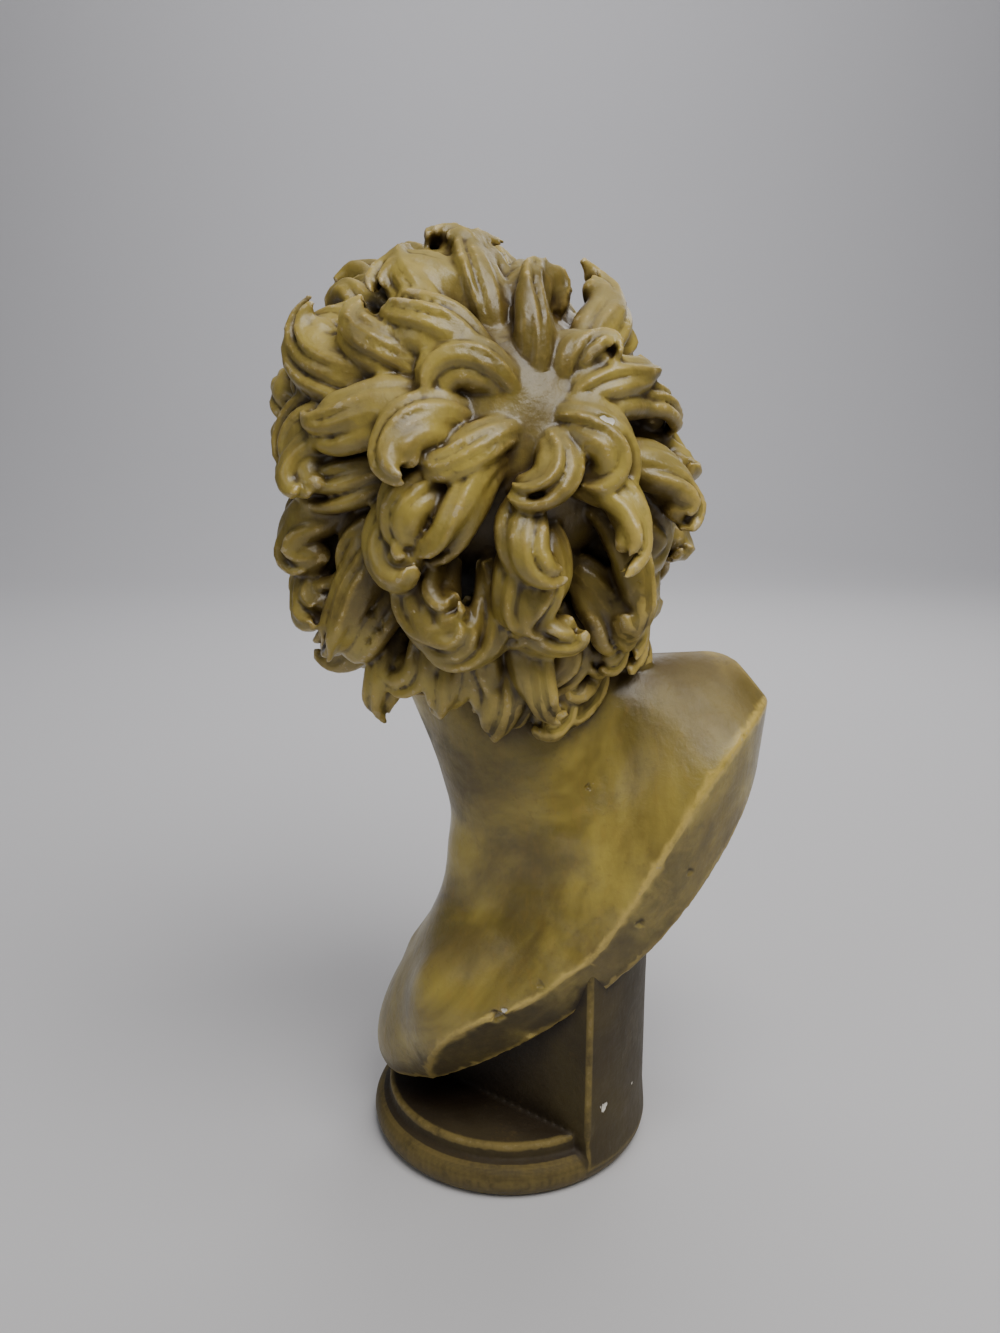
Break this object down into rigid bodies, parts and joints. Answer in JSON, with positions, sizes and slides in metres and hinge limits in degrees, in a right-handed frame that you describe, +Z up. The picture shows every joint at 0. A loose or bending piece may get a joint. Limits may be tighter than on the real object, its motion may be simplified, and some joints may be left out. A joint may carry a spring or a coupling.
{
  "type": "plaster bust",
  "caption": "Plaster bust of a bearded classical man with thick curly hair, head turned to the left and thrown back, on a round moulded socle, with an olive bronze patina.",
  "frame": {"origin": "centre of the round socle's underside, on the surface that the bust stands on", "axes": "+Z up; the chest faces -Y, and the figure's right shoulder, the higher one, is towards -X"},
  "size_m": [0.3227, 0.2708, 0.6137],
  "materials": {
    "waxed_plaster": "cast plaster painted and waxed to an olive bronze patina, half gloss, worn to ochre on its ridges"
  },
  "bodies": {
    "root": {"plaster_bust": "waxed_plaster"}
  },
  "joints": []
}
